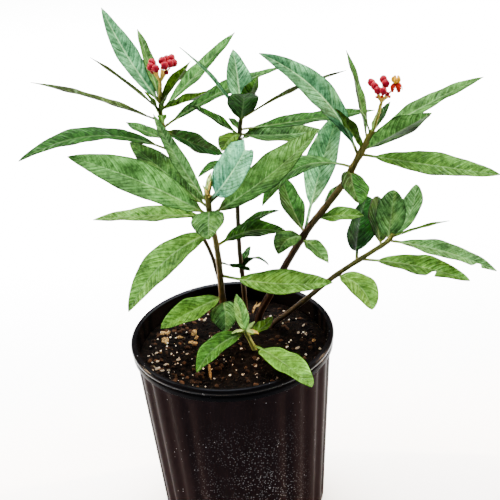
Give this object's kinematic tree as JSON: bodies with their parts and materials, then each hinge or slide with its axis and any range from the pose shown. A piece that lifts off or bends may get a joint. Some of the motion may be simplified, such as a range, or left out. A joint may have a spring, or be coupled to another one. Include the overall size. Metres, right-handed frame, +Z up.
{
  "type": "potted milkweed",
  "caption": "Potted milkweed: slender leafy stems with lance-shaped leaves and small red and orange flower umbels, standing in potting mix in a fluted black nursery pot.",
  "frame": {"origin": "middle of the flat underside of the pot", "axes": "+Z up; -Y is the side that faces the viewer of the picture, +X is to the viewer's right"},
  "size_m": [0.3711, 0.2207, 0.4053],
  "materials": {
    "pot_plastic": "black blow-moulded polyethylene, satin, a little dusty",
    "potting_mix": "dark bark and peat mix with perlite and chips, rough",
    "leaf_green": "living leaves and stems, matt to waxy",
    "bud_red": "red flower buds on yellow-green pedicels, satin",
    "petal_red": "bright red petals, soft",
    "crown_orange": "yellow-orange hoods of the open flower, soft"
  },
  "bodies": {
    "root": {"nursery_pot": "pot_plastic", "potting_mix": "potting_mix", "leafy_stem_front_left": "leaf_green", "leafy_stem_back_left": "leaf_green", "leafy_stem_middle": "leaf_green", "leafy_stem_right": "leaf_green", "leafy_stem_far_right": "leaf_green", "basal_shoot": "leaf_green", "flower_umbel_left": "bud_red", "flower_umbel_right": "bud_red", "open_flower_petals": "petal_red", "open_flower_crown": "crown_orange"}
  },
  "joints": []
}
